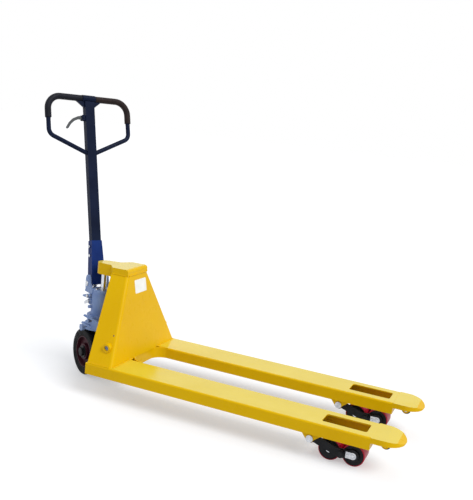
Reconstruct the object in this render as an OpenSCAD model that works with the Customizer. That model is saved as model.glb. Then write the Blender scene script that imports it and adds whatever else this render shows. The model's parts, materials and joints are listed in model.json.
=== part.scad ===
// Hand pallet jack. X points along the forks, Z up, origin on the floor under the fork heel.
// Sizes in millimetres. The jack is drawn partly raised with the handle steered to one side.

/* [Forks] */
// Length of the forks from the heel to the tip
fork_length = 1150; // [900:10:1400]
// Width over both forks
overall_width = 528; // [440:2:700]
// Width of one fork
fork_width = 150; // [130:1:180]
// Depth of a fork's side skirts
skirt_depth = 46; // [40:1:56]
// Thickness of the folded fork steel
fork_plate = 5; // [4:0.5:6]
// Height of the fork tops when fully lowered
lowered_height = 85; // [80:1:95]
// How far the forks are raised in this pose
lift_now = 54; // [45:1:65]
// Diameter of the load rollers
roller_diameter = 82; // [70:1:84]
// Width of the load rollers
roller_width = 70; // [58:1:74]

/* [Frame] */
// Height of the welded frame above the fork tops
frame_height = 332; // [280:2:400]
// Half of the frame's width at its top
frame_top_half = 79; // [66:1:95]
// Thickness of the frame plates
frame_plate = 5; // [4:0.5:7]
// Distance from the fork heel back to the ram
ram_back = 235; // [230:1:250]
// Diameter of the ram
ram_diameter = 24; // [20:1:28]

/* [Steering] */
// Diameter of the steering wheels
wheel_diameter = 200; // [170:2:204]
// Width of each steering wheel
wheel_width = 50; // [42:1:56]
// Steering angle of the wheels and handle in this pose
steer_now = 30; // [0:1:60]

/* [Handle] */
// Length of the handle from its pivot to the grip bar
handle_length = 811; // [700:1:950]
// Width over the grips
grip_width = 408; // [340:2:480]
// Lean of the handle in this pose
handle_lean = 15; // [5:1:25]
// Width of the handle shaft
shaft_width = 43; // [36:1:46]
// Diameter of the rubber grips
grip_diameter = 28; // [25:1:34]

/* [Hidden] */
$fn = 48;
run_fit = 0.05;
air = 1;
deck_z = lowered_height + lift_now;
fork_mid = (overall_width - fork_width) / 2;
skirt_z = deck_z - skirt_depth;
tail_x = -124;
skirt_end = fork_length - 111;
axle_r = 10;
lever_len = 116;
roller_z = roller_diameter / 2;
rocker_half = 44;
lever_z = deck_z - 63;
lever_angle = asin((lever_z - roller_z) / lever_len);
lever_x = fork_length - 325;
rocker_x = lever_x + lever_len * cos(lever_angle);
lever_up = 44;
rod_z = lever_z + lever_up;
crank_x = -52;
crank_z = deck_z + 67;
collar_z = 252;
crank_low = crank_z - rod_z;
crank_reach = ram_back + crank_x;
crank_rise = collar_z - crank_z;
crank_tilt = atan(crank_rise / crank_reach);
pin_r = 7;
frame_lean = 64 / 332;
frame_top = deck_z + frame_height;
frame_low_half = overall_width / 2 - 5;
side_slope = (frame_low_half - frame_top_half) / frame_height;
bush_y = frame_low_half - side_slope * (crank_z - deck_z);
tube_half = bush_y - 26;
nose_z0 = frame_top - 25;
nose_z1 = frame_top + 23;
pump_r = 47;
pivot_u = 60;
pivot_z = 387;
cam_arm = 24.5;
cam_r = 11;
plunger_u = pivot_u + 22;
plunger_top = pivot_z + cam_arm * sin(38) - cam_r - 0.3;
shaft_depth = 28;
base_len = 185;
tube_r = 10;
grip_r = grip_diameter / 2;
side_v = grip_width / 2 - grip_r;
bend_r = 58;
low_r = 34;
low_angle = 66;
low_s = 668;
join_s = 586;
lever_s = 724;
wheel_z = wheel_diameter / 2;
wheel_in = 27;
wheel_out = wheel_in + wheel_width;
steel_axle = 12.5;

// Shared shapes. A rod along Y, a plate drawn in X and Z, a plate drawn in Y and Z.
module y_rod(r, y0, y1) {
  translate([0, y0, 0]) rotate([-90, 0, 0]) cylinder(h = y1 - y0, r = r);
}
module x_rod(r, x0, x1) {
  translate([x0, 0, 0]) rotate([0, 90, 0]) cylinder(h = x1 - x0, r = r);
}
module y_plate(y0, y1) {
  translate([0, y1, 0]) rotate([90, 0, 0]) linear_extrude(y1 - y0) children();
}
module x_plate(x0, x1) {
  translate([x0, 0, 0]) rotate([90, 0, 90]) linear_extrude(x1 - x0) children();
}
module box(x0, x1, y0, y1, z0, z1) {
  translate([x0, y0, z0]) cube([x1 - x0, y1 - y0, z1 - z0]);
}
module on_side(s) {
  mirror([0, s < 0 ? 1 : 0, 0]) children();
}
module ring(r_in, r_out, z0, z1) {
  translate([0, 0, z0]) difference() {
    cylinder(h = z1 - z0, r = r_out);
    translate([0, 0, -1]) cylinder(h = z1 - z0 + 2, r = r_in);
  }
}
module steer_frame() {
  translate([-ram_back, 0, 0]) rotate([0, 0, 180 - steer_now]) children();
}
module handle_frame() {
  steer_frame() translate([pivot_u, 0, pivot_z]) rotate([0, handle_lean, 0]) children();
}

// Frame: one folded sheet that leans back and narrows towards the head.
module frame_side(inset) {
  polygon([[-frame_low_half + inset, deck_z - inset], [frame_low_half - inset, deck_z - inset],
    [frame_low_half - inset, deck_z], [frame_top_half - inset, frame_top],
    [frame_top_half - inset, frame_top + inset], [-frame_top_half + inset, frame_top + inset],
    [-frame_top_half + inset, frame_top], [-frame_low_half + inset, deck_z]]);
}
module frame_profile(inset, back) {
  polygon([[-5 - inset, deck_z - inset], [-5 - inset, deck_z],
    [-5 - inset - frame_lean * frame_height, frame_top],
    [-5 - inset - frame_lean * frame_height, frame_top + inset],
    [-150 - back, frame_top + inset], [-150 - back, frame_top], [-118 - back, deck_z],
    [-118 - back, deck_z - inset]]);
}
module frame_shell() color([0.86, 0.68, 0.04]) difference() {
  intersection() {
    x_plate(-200, 10) frame_side(0);
    y_plate(-overall_width, overall_width) frame_profile(0, 0);
  }
  intersection() {
    x_plate(-250, 20) frame_side(frame_plate * 1.12);
    y_plate(-overall_width, overall_width) frame_profile(frame_plate * 1.02, 40);
  }
  translate([crank_x, 0, crank_z]) y_rod(18, -overall_width, overall_width);
}

// Head cap: closes the frame and carries the nose beam out over the ram.
module nose_plan(inset) {
  h = frame_top_half - inset;
  front = -62 - 4 * inset;
  polygon([[front, -h], [-146, -h], [-ram_back + 55, -38 + inset], [-ram_back + 6, -34 + inset],
    [-ram_back + 6, 34 - inset], [-ram_back + 55, 38 - inset], [-146, h], [front, h]]);
  translate([-ram_back + 6, 0]) circle(34 - inset);
}
module head_cap() color([0.86, 0.68, 0.04]) difference() {
  union() {
    difference() {
      intersection() {
        translate([0, 0, nose_z0]) linear_extrude(60) nose_plan(0);
        y_plate(-200, 200) union() {
          polygon([[-ram_back - 40, nose_z0], [-151, nose_z0], [-151, frame_top],
            [-69, frame_top], [-72, frame_top + 14], [-84, frame_top + 27],
            [-150, frame_top + 26], [-ram_back - 40, nose_z1]]);
          translate([-84, frame_top + 13.5]) circle(13);
        }
      }
      translate([0, 0, nose_z0 - 1]) linear_extrude(nose_z1 - nose_z0 - 7) nose_plan(7);
    }
    translate([-ram_back, 0, nose_z0]) cylinder(h = nose_z1 - nose_z0 - 4, r = 22);
  }
}
module lift_ram() color([0.8, 0.8, 0.82]) translate([-ram_back, 0, 0]) {
  translate([0, 0, 190]) cylinder(h = nose_z0 - 190, r = ram_diameter / 2);
}

// Forks: folded channels with a window for the rollers and ribs that guide the push rod.
module channel(w, d, r) {
  difference() {
    union() {
      translate([-w / 2 + r, -d]) square([w - 2 * r, d]);
      translate([-w / 2, -d]) square([w, d - r]);
      for (s = [-1, 1]) translate([s * (w / 2 - r), -r]) circle(r);
    }
    translate([-w / 2 + fork_plate, -d - 1]) square([w - 2 * fork_plate, d + 1 - fork_plate]);
  }
}
module fork(s) {
  on_side(s) translate([0, fork_mid, 0]) difference() {
    union() {
      translate([0, 0, deck_z]) x_plate(tail_x, skirt_end) channel(fork_width, skirt_depth, 7);
      for (x = [150, 420, 690]) difference() {
        box(x, x + 5, -fork_width / 2 + 3, fork_width / 2 - 3, skirt_z + 6, deck_z - 3);
        box(x - 1, x + 6, -13, 13, skirt_z, rod_z + 12);
      }
      box(skirt_end - 6, skirt_end, -fork_width / 2 + 3, fork_width / 2 - 3, skirt_z, deck_z - 3);
    }
    translate([0, 0, deck_z - 20]) linear_extrude(40) union() {
      translate([lever_x + 27, -29]) square([164, 58]);
      translate([lever_x + 35, -37]) square([148, 74]);
      for (x = [35, 183], y = [-29, 29]) translate([lever_x + x, y]) circle(8);
    }
    box(crank_x - 48, crank_x + 36, -19, 19, deck_z - 20, deck_z + 20);
  }
}
module fork_left() color([0.86, 0.68, 0.04]) fork(1);
module fork_right() color([0.86, 0.68, 0.04]) fork(-1);

// Tips: thin rounded noses that slide into a pallet.
module tip(s) {
  on_side(s) translate([0, fork_mid, 0]) difference() {
    union() {
      intersection() {
        translate([0, 0, deck_z - 22]) linear_extrude(40) {
          translate([skirt_end, -fork_width / 2]) {
            square([fork_length - fork_width / 2 - skirt_end, fork_width]);
          }
          translate([fork_length - fork_width / 2, 0]) circle(fork_width / 2, $fn = 64);
        }
        y_plate(-200, 200) polygon([[skirt_end, deck_z - 20], [skirt_end, deck_z],
          [skirt_end + 50, deck_z], [skirt_end + 88, deck_z - 4], [fork_length - 6, deck_z - 11],
          [fork_length, deck_z - 15], [fork_length - 4, deck_z - 19], [fork_length - 16, deck_z - 20]]);
      }
      for (y = [-32, 25]) y_tab(y);
    }
    box(skirt_end + 22, skirt_end + 68, -24, 24, deck_z - 30, deck_z - 11);
    translate([skirt_end + 45, 0, deck_z - 33]) y_rod(6, -40, 40);
  }
}
module y_tab(y) {
  y_plate(y, y + 7) union() {
    translate([skirt_end + 45, deck_z - 33]) circle(12);
    translate([skirt_end + 33, deck_z - 33]) square([24, 15]);
  }
}
module tip_left() color([0.86, 0.68, 0.04]) tip(1);
module tip_right() color([0.86, 0.68, 0.04]) tip(-1);
module tip_axles() color([0.75, 0.75, 0.77]) for (s = [-1, 1]) {
  translate([skirt_end + 45, s * fork_mid, deck_z - 33]) y_rod(6, -32, 32);
}
module tip_roller(s) {
  translate([skirt_end + 45, s * fork_mid, deck_z - 33]) difference() {
    y_rod(18, -22, 22);
    y_rod(6 + run_fit, -23, 23);
  }
}
module tip_roller_left() color([0.15, 0.15, 0.16]) tip_roller(1);
module tip_roller_right() color([0.15, 0.15, 0.16]) tip_roller(-1);

// Heel beam: joins the forks below the front plate.
module heel_beam() color([0.86, 0.68, 0.04]) {
  h = fork_mid - fork_width / 2;
  box(-14, -8, -h, h, skirt_z, deck_z);
  box(-60, -14, -h, h, skirt_z, skirt_z + 5);
}
module lever_gussets() color([0.86, 0.68, 0.04]) for (s = [-1, 1], k = [-1, 1]) {
  translate([0, s * fork_mid + k * (fork_width / 2 - fork_plate - 2.5), 0]) difference() {
    y_plate(-2.5, 2.5) union() {
      polygon([[lever_x - 44, skirt_z + 12], [lever_x - 32, skirt_z - 1],
        [lever_x - 10, lever_z - 11], [lever_x + 14, lever_z - 4], [lever_x + 40, skirt_z],
        [lever_x + 46, skirt_z + 12]]);
      translate([lever_x, lever_z]) circle(15);
    }
    translate([lever_x, 0, lever_z]) y_rod(axle_r, -9, 9);
  }
}
module lever_axles() color([0.75, 0.75, 0.77]) for (s = [-1, 1]) {
  translate([lever_x, s * fork_mid, lever_z]) union() {
    y_rod(axle_r, -fork_width / 2 + fork_plate, fork_width / 2 - fork_plate);
    for (k = [0, 180]) rotate([0, 0, k]) y_rod(13.5, fork_width / 2 - fork_plate, fork_width / 2 + 0.5);
  }
}
module crank_bushes() color([0.7, 0.6, 0.2]) for (s = [-1, 1]) on_side(s) {
  translate([crank_x, 0, crank_z]) difference() {
    y_rod(18, tube_half + air, bush_y + 13);
    y_rod(axle_r + run_fit, tube_half - 5, bush_y + 20);
  }
}
module label_plate() color([0.95, 0.95, 0.93]) {
  a = atan(frame_lean);
  translate([-5, 0, deck_z]) rotate([0, -a, 0]) box(0, 0.8, -33, 57, 0.78 * frame_height, 0.95 * frame_height);
}

// Load wheels: a push rod swings each lever down, and the lever carries a tandem rocker.
module jaw(x, x0, x1, open_up) {
  for (y = [-15, 9]) difference() {
    box(x0, x1, y, y + 6, rod_z - 12, rod_z + 12);
    translate([x, y, rod_z]) {
      box(-pin_r - 2, pin_r + 2, -1, 7, open_up ? -pin_r - 0.3 : -13, open_up ? 13 : pin_r + 0.3);
    }
  }
}
module push_rod(s) {
  translate([0, s * fork_mid, 0]) union() {
    jaw(crank_x, crank_x - 14, crank_x + 20, true);
    jaw(lever_x, lever_x - 24, lever_x + 14, false);
    box(crank_x + 20, crank_x + 30, -15, 15, rod_z - 12, rod_z + 12);
    box(lever_x - 34, lever_x - 24, -15, 15, rod_z - 12, rod_z + 12);
    translate([0, 0, rod_z]) x_rod(9, crank_x + 30, lever_x - 34);
  }
}
module push_rod_left() color([0.12, 0.12, 0.13]) push_rod(1);
module push_rod_right() color([0.12, 0.12, 0.13]) push_rod(-1);
module wheel_lever(s) {
  translate([lever_x, s * fork_mid, lever_z]) difference() {
    union() {
      y_rod(18, -fork_width / 2 + fork_plate + 6, fork_width / 2 - fork_plate - 6);
      y_plate(-5, 5) union() {
        polygon([[-14, 0], [14, 0], [10, lever_up], [-10, lever_up]]);
        translate([0, lever_up]) circle(11);
      }
      translate([0, 0, lever_up]) y_rod(pin_r, -18, 18);
      for (k = [0, 180]) rotate([0, 0, 0]) mirror([0, k / 180, 0]) {
        rotate([0, lever_angle, 0]) {
          y_plate(44.5, 52.5) union() {
            polygon([[0, -14], [lever_len, -14], [lever_len, 14], [0, 14]]);
            translate([lever_len, 0]) circle(15);
          }
          translate([lever_len, 0, 0]) y_rod(8, 36, 48);
          translate([lever_len, 0, 0]) y_rod(12, 52.5, 58);
        }
      }
    }
    y_rod(axle_r + run_fit, -fork_width, fork_width);
  }
}
module wheel_lever_left() color([0.1, 0.1, 0.11]) wheel_lever(1);
module wheel_lever_right() color([0.1, 0.1, 0.11]) wheel_lever(-1);
module rocker(s) {
  translate([rocker_x, s * fork_mid, roller_z]) for (y = [-42, 36]) difference() {
    y_plate(y, y + 6) union() {
      translate([-rocker_half, -17]) square([2 * rocker_half, 34]);
      translate([-rocker_half, 0]) circle(30);
      translate([rocker_half, 0]) circle(22);
    }
    y_rod(8 + run_fit, -60, 60);
    for (k = [-1, 1]) translate([k * rocker_half, 0, 0]) y_rod(axle_r, -60, 60);
  }
}
module rocker_left() color([0.1, 0.1, 0.11]) rocker(1);
module rocker_right() color([0.1, 0.1, 0.11]) rocker(-1);
module roller_axles(s) {
  translate([rocker_x, s * fork_mid, roller_z]) {
    for (k = [-1, 1]) translate([k * rocker_half, 0, 0]) y_rod(axle_r, -42, 42);
    for (y = [-44, 42]) y_plate(y, y + 2) translate([rocker_half, 0]) union() {
      circle(13);
      translate([-26, -12]) square([26, 24]);
    }
    for (y = [-47, 44], x = [-18, 0]) y_plate(y, y + 3) {
      translate([rocker_half + x, 0]) circle(x < 0 ? 4.5 : 7);
    }
  }
}
module roller_axles_left() color([0.8, 0.8, 0.82]) roller_axles(1);
module roller_axles_right() color([0.8, 0.8, 0.82]) roller_axles(-1);
module load_roller(s, k) {
  translate([rocker_x + k * rocker_half, s * fork_mid, roller_z]) difference() {
    y_rod(roller_z, -roller_width / 2, roller_width / 2);
    y_rod(axle_r + run_fit, -60, 60);
    for (m = [0, 1]) mirror([0, m, 0]) difference() {
      y_rod(26, roller_width / 2 - 4, 60);
      y_rod(17, 0, 60);
    }
  }
}
module roller_left_rear() color([0.75, 0.1, 0.22]) load_roller(1, -1);
module roller_left_front() color([0.75, 0.1, 0.22]) load_roller(1, 1);
module roller_right_rear() color([0.75, 0.1, 0.22]) load_roller(-1, -1);
module roller_right_front() color([0.75, 0.1, 0.22]) load_roller(-1, 1);

// Bell crank: turns the rise of the frame over the pump into a push along the forks.
module bell_crank() color([0.1, 0.1, 0.11]) translate([crank_x, 0, crank_z]) union() {
  difference() {
    y_rod(22, -tube_half, tube_half);
    y_rod(16, -tube_half + 8, tube_half - 8);
  }
  for (s = [-1, 1]) on_side(s) {
    y_rod(axle_r, tube_half - 6, bush_y + 4);
    rotate([0, crank_tilt, 0]) y_plate(95, 105) difference() {
      polygon([[-15, -17], [-150, -20], [-214, -20], [-214, 20], [-150, 20], [-15, 17]]);
      polygon([[-168, -13.5], [-230, -13.5], [-230, 13.5], [-168, 13.5]]);
    }
    difference() {
      y_plate(fork_mid - 5, fork_mid + 5) union() {
        polygon([[-15, -16], [15, -16], [11, -crank_low], [-11, -crank_low]]);
        translate([0, -crank_low]) circle(12);
      }
      translate([0, 0, -crank_low]) y_rod(pin_r, 0, 400);
    }
  }
}
module crank_pins() color([0.75, 0.75, 0.77]) for (s = [-1, 1]) {
  translate([crank_x, s * fork_mid, rod_z]) y_rod(pin_r, -18, 18);
}

// Thrust collar: does not turn; the pump steers inside it and the crank presses on its pins.
module thrust_collar() color([0.35, 0.36, 0.38]) translate([-ram_back, 0, 0]) {
  ring(pump_r + run_fit, 62, collar_z - 9, collar_z + 9);
  for (s = [-1, 1]) on_side(s) translate([0, 0, collar_z]) difference() {
    y_rod(8, 55, 109);
    translate([0, 0, -20]) cylinder(h = 40, r = 60);
  }
}
module thrust_washer() color([0.7, 0.7, 0.72]) steer_frame() ring(pump_r, 58, 240, collar_z - 9.3);

// Pump: cast body that steers with the wheels and the handle.
module pump_body() color([0.5, 0.56, 0.74]) steer_frame() difference() {
  union() {
    translate([0, 0, 205]) cylinder(h = 150, r = pump_r);
    rotate_extrude($fn = 64) polygon([[0, 206], [80, 206], [80, 214], [66, 224], [54, 240], [0, 240]]);
    translate([0, 0, 355]) cylinder(h = 15, r = 45);
    translate([0, 0, 370]) cylinder(h = 4, r1 = 45, r2 = 41);
    box(-34, 34, -24, 24, wheel_z - 26, 210);
    for (s = [-1, 1]) on_side(s) {
      box(-15, 15, 50, 92, 208, 220);
      translate([0, 0, 210]) y_rod(14, wheel_out + 3, 93);
      y_plate(36, 48) polygon([[8, 350], [70, 350], [76, 382], [74, 412], [66, 424],
        [55, 424], [47, 412], [43, 394], [30, 374], [8, 374]]);
    }
    box(20, 76, -48, 48, 350, 358);
    box(40, plunger_u, -20, 20, 286, 359.5);
    translate([plunger_u, 0, 286]) cylinder(h = 74, r = 21);
    translate([22, 0, 318]) y_rod(14, 30, 50);
    translate([12, 0, 296]) y_rod(7, 30, 58);
  }
  translate([0, 0, 125]) cylinder(h = 240, r = 15);
  translate([0, 0, 362]) cylinder(h = 20, r = 23);
  translate([0, 0, wheel_z]) y_rod(steel_axle, -40, 40);
  translate([pivot_u, 0, pivot_z]) y_rod(8, -60, 60);
  translate([plunger_u, 0, 290]) cylinder(h = 80, r = 8 + run_fit);
  translate([plunger_u, 0, 334]) cylinder(h = 60, r = 14);
}
module ram_gland() color([0.7, 0.7, 0.72]) steer_frame() {
  ring(ram_diameter / 2 + run_fit, 23, 362, 377);
  ring(ram_diameter / 2 + run_fit, 18, 377, 381);
}
module flange_screws() color([0.75, 0.75, 0.77]) steer_frame() {
  for (a = [100, 150, 210, 260]) rotate([0, 0, a]) translate([33, 0, 374]) cylinder(h = 6, r = 6);
}
module adjuster() color([0.75, 0.75, 0.77]) steer_frame() {
  translate([22, 0, 318]) y_rod(8, 50, 57);
  translate([22, 0, 318]) rotate([0, 25, 0]) y_plate(57, 60) polygon([[-8, -8], [32, -6], [32, 6], [-8, 8]]);
  translate([22, 0, 341]) y_rod(4.5, 46, 62);
  translate([22, 0, 341]) y_rod(8, 61, 65);
  translate([22, 0, 341]) difference() {
    y_rod(8, 41, 50);
    translate([-22, 0, -20]) cylinder(h = 40, r = pump_r);
  }
}
module wheel_axle() color([0.75, 0.75, 0.77]) steer_frame() {
  translate([0, 0, wheel_z]) y_rod(steel_axle, -wheel_out - 12, wheel_out + 12);
}
module axle_nuts() color([0.75, 0.75, 0.77]) steer_frame() for (s = [-1, 1]) on_side(s) {
  translate([0, 0, wheel_z]) difference() {
    union() {
      y_rod(16, wheel_out + 1, wheel_out + 3);
      translate([0, wheel_out + 3, 0]) rotate([-90, 0, 0]) cylinder(h = 8, r = 19, $fn = 6);
    }
    y_rod(steel_axle, 0, 200);
  }
}
module handle_pin() color([0.75, 0.75, 0.77]) steer_frame() translate([pivot_u, 0, pivot_z]) {
  y_rod(8, -52, 52);
  for (s = [-1, 1]) on_side(s) difference() {
    y_rod(12, 48, 50.5);
    y_rod(8, 40, 60);
  }
}

// Steering wheels: rubber tyres on cast hubs, with a bearing at each face.
module steer_wheel_at(s) {
  steer_frame() on_side(s) translate([0, 0, wheel_z]) children();
}
module steer_tyre(s) {
  steer_wheel_at(s) translate([0, wheel_in, 0]) rotate([-90, 0, 0]) rotate_extrude($fn = 72) {
    polygon([[wheel_z - 18, 0], [wheel_z - 4, 0], [wheel_z, 5], [wheel_z, wheel_width - 5],
      [wheel_z - 4, wheel_width], [wheel_z - 18, wheel_width]]);
  }
}
module steer_tyre_left() color([0.05, 0.05, 0.05]) steer_tyre(-1);
module steer_tyre_right() color([0.05, 0.05, 0.05]) steer_tyre(1);
module steer_hub(s) {
  w = wheel_width;
  steer_wheel_at(s) translate([0, wheel_in, 0]) rotate([-90, 0, 0]) rotate_extrude($fn = 72) {
    polygon([[26, 0], [34, 0], [38, w / 2 - 6], [wheel_z - 28, w / 2 - 6], [wheel_z - 26, 2],
      [wheel_z - 18, 2], [wheel_z - 18, w - 2], [wheel_z - 26, w - 2], [wheel_z - 28, w / 2 + 6],
      [38, w / 2 + 6], [34, w], [26, w], [26, w - 12], [20, w - 12], [20, 12], [26, 12]]);
  }
}
module steer_hub_left() color([0.35, 0.06, 0.1]) steer_hub(-1);
module steer_hub_right() color([0.35, 0.06, 0.1]) steer_hub(1);
module steer_bearings(s) {
  steer_wheel_at(s) for (y = [wheel_in, wheel_out - 12]) difference() {
    y_rod(26, y, y + 12);
    y_rod(steel_axle + run_fit, y - 1, y + 13);
  }
}
module steer_bearings_left() color([0.7, 0.7, 0.72]) steer_bearings(-1);
module steer_bearings_right() color([0.7, 0.7, 0.72]) steer_bearings(1);

// Pumping: the cam roller in the handle base presses the sprung plunger down.
module pump_plunger() color([0.75, 0.75, 0.77]) steer_frame() translate([plunger_u, 0, 0]) {
  translate([0, 0, 322]) cylinder(h = plunger_top - 2 - 322, r = 8);
  translate([0, 0, plunger_top - 5]) cylinder(h = 5, r = 13);
}
module plunger_spring() color([0.6, 0.6, 0.62]) steer_frame() translate([plunger_u, 0, 334]) {
  len = plunger_top - 5 - 334;
  rotate_extrude() union() {
    translate([10.6, 0]) square([0.8, len]);
    for (i = [0 : 5]) translate([11, 1.4 + i * (len - 2.8) / 5]) circle(1.4, $fn = 20);
  }
}
module cam_place() {
  handle_frame() translate([cam_arm * cos(38 + handle_lean), 0, cam_arm * sin(38 + handle_lean)]) children();
}
module cam_roller() color([0.6, 0.6, 0.62]) cam_place() difference() {
  y_rod(cam_r, -12, 12);
  y_rod(5 + run_fit, -20, 20);
}
module cam_pin() color([0.75, 0.75, 0.77]) cam_place() y_rod(5, -31, 31);

// Handle: a tapered base, a rectangular shaft and a tubular loop with rubber grips.
module base_front(inset) {
  polygon([[-33 + inset, -30], [33 - inset, -30], [33 - inset, 0],
    [shaft_width / 2 + 2.5 - inset, base_len], [-shaft_width / 2 - 2.5 + inset, base_len], [-33 + inset, 0]]);
}
module handle_base() color([0.08, 0.17, 0.4]) handle_frame() difference() {
  intersection() {
    x_plate(-60, 60) base_front(0);
    y_plate(-60, 60) polygon(concat([[-17, base_len], [17, base_len], [24, 36], [22, 8]],
      [for (a = [360 : -20 : 180]) [18 * cos(a), 18 * sin(a)]]));
  }
  intersection() {
    x_plate(-60, 60) base_front(5);
    box(-11, 60, -60, 60, -40, 95);
  }
  box(-11, 0, -20, 20, -40, 0);
  box(-30, 0, -28, 28, -40, -6);
  box(-14, 14, -shaft_width / 2, shaft_width / 2, 90, 400);
  y_rod(8 + run_fit, -60, 60);
  translate([cam_arm * cos(38 + handle_lean), 0, cam_arm * sin(38 + handle_lean)]) y_rod(5, -60, 60);
  for (z = [120, 160]) translate([4, 0, z]) y_rod(4, -60, 60);
}
module base_bolts() color([0.75, 0.75, 0.77]) handle_frame() for (z = [120, 160]) translate([4, 0, z]) {
  y_rod(4, -30, 30);
  for (s = [-1, 1]) on_side(s) y_rod(7, 27.5, 31);
}
module handle_shaft() color([0.08, 0.1, 0.2]) handle_frame() difference() {
  box(-14, 14, -shaft_width / 2, shaft_width / 2, 95, handle_length - 14);
  box(-11, 11, -shaft_width / 2 + 3, shaft_width / 2 - 3, 90, handle_length - 17);
  box(-6, 6, 0, 40, lever_s - 13, lever_s + 13);
  for (z = [120, 160]) translate([4, 0, z]) y_rod(4, -60, 60);
}

// The loop is drawn flat, sideways along X and up along Y, then stood in the handle's plane.
module in_loop() {
  handle_frame() rotate([90, 0, 90]) children();
}
module seg(x0, y0, x1, y1, r) {
  a = atan2(y1 - y0, x1 - x0);
  translate([x0, y0, 0]) rotate([0, 0, a]) rotate([0, 90, 0]) {
    cylinder(h = sqrt((x1 - x0) * (x1 - x0) + (y1 - y0) * (y1 - y0)), r = r);
  }
}
module bend(x, y, big, a, sweep, r) {
  translate([x, y, 0]) rotate([0, 0, a]) rotate_extrude(angle = sweep) translate([big, 0]) circle(r, $fn = 32);
}
low_cx = side_v - low_r;
low_ex = low_cx + low_r * cos(low_angle);
low_ey = low_s - low_r * sin(low_angle);
module half_loop(r, inner) {
  seg(low_ex + sin(low_angle), low_ey + cos(low_angle), inner,
    low_ey - (low_ex - inner) * tan(90 - low_angle), r - 0.4);
  bend(low_cx, low_s, low_r, -low_angle, low_angle, r - 0.2);
  seg(side_v, low_s - 1, side_v, handle_length - bend_r, r);
  bend(side_v - bend_r, handle_length - bend_r, bend_r, 0, 90, r);
}
module loop_path(r, inner) {
  half_loop(r, inner);
  mirror([1, 0, 0]) half_loop(r, inner);
  seg(-side_v + bend_r, handle_length, side_v - bend_r, handle_length, r);
}
module loop_tube() color([0.08, 0.1, 0.2]) in_loop() difference() {
  loop_path(tube_r, 14);
  translate([-shaft_width / 2, 300, -14]) cube([shaft_width, handle_length - 14 - 300, 28]);
}
module handle_head() color([0.08, 0.1, 0.2]) in_loop() difference() {
  union() {
    seg(-30, handle_length, 30, handle_length, 15.5);
    translate([0, 0, -5]) linear_extrude(10) polygon([[-62, handle_length - 10], [-16, handle_length - 46],
      [16, handle_length - 46], [62, handle_length - 10]]);
  }
  seg(-90, handle_length, 90, handle_length, tube_r);
  for (k = [0, 180]) translate([0, handle_length, 0]) rotate([0, k, 0]) seg(30, 0, 90, 0, grip_r);
  translate([-shaft_width / 2, 300, -14]) cube([shaft_width, handle_length - 14 - 300, 28]);
}
module grip() {
  in_loop() difference() {
    union() {
      seg(30, handle_length, side_v - bend_r, handle_length, grip_r);
      bend(side_v - bend_r, handle_length - bend_r, bend_r, 0, 90, grip_r);
      seg(side_v, handle_length - 96, side_v, handle_length - bend_r, grip_r);
    }
    union() {
      seg(20, handle_length, side_v - bend_r, handle_length, tube_r);
      bend(side_v - bend_r, handle_length - bend_r, bend_r, 0, 90, tube_r);
      seg(side_v, handle_length - 120, side_v, handle_length - bend_r, tube_r);
    }
  }
}
module in_loop_mirror() {
  handle_frame() mirror([0, 1, 0]) rotate([90, 0, 90]) children();
}
module grip_right() color([0.05, 0.05, 0.05]) grip();
module grip_left() color([0.05, 0.05, 0.05]) in_loop_mirror() difference() {
  union() {
    seg(30, handle_length, side_v - bend_r, handle_length, grip_r);
    bend(side_v - bend_r, handle_length - bend_r, bend_r, 0, 90, grip_r);
    seg(side_v, handle_length - 96, side_v, handle_length - bend_r, grip_r);
  }
  union() {
    seg(20, handle_length, side_v - bend_r, handle_length, tube_r);
    bend(side_v - bend_r, handle_length - bend_r, bend_r, 0, 90, tube_r);
    seg(side_v, handle_length - 120, side_v, handle_length - bend_r, tube_r);
  }
}

// Control: a finger lever pulls the rod in the shaft, and the arm on the pump opens the valve.
module lever_bracket() color([0.2, 0.2, 0.22]) handle_frame() {
  for (x = [-10, 6]) difference() {
    x_plate(x, x + 4) translate([shaft_width / 2, lever_s - 12]) square([16, 24]);
    translate([0, shaft_width / 2 + 8.5, lever_s]) x_rod(4, -20, 20);
  }
  translate([0, shaft_width / 2 + 8.5, lever_s]) x_rod(4, -12, 12);
}
module control_lever() color([0.06, 0.06, 0.07]) handle_frame() difference() {
  translate([0, shaft_width / 2 + 8.5, lever_s]) union() {
    x_rod(9, -5, 5);
    x_plate(-3, 3) polygon([[-27, -4], [-27, 4], [2, 4], [2, -4]]);
    x_plate(-4, 4) polygon([[-2, -8], [-2, 8], [24, 6], [48, -5], [66, -22], [80, -44], [80, -49],
      [76, -52], [72, -50], [58, -30], [42, -16], [22, -7]]);
  }
  translate([0, shaft_width / 2 + 8.5, lever_s]) x_rod(4 + run_fit, -20, 20);
}
module release_rod() color([0.7, 0.7, 0.72]) handle_frame() {
  translate([-6, 0, 48]) cylinder(h = lever_s - 12 - 48, r = 3, $fn = 24);
  difference() {
    box(-10.8, 5, -7, 7, lever_s - 13, lever_s + 13);
    box(-12, 6, -3, 8, lever_s - 6, lever_s + 6);
  }
}
module release_arm() color([0.5, 0.56, 0.74]) steer_frame() translate([22, 0, 341]) difference() {
  union() {
    y_plate(52, 60) union() {
      circle(9);
      polygon([[-2, -9], [46, -12], [50, -8], [46, -5], [4, 9]]);
    }
    translate([40, 0, -8]) y_rod(3.5, 26, 52);
  }
  y_rod(4.5 + run_fit, 0, 90);
}

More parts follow.
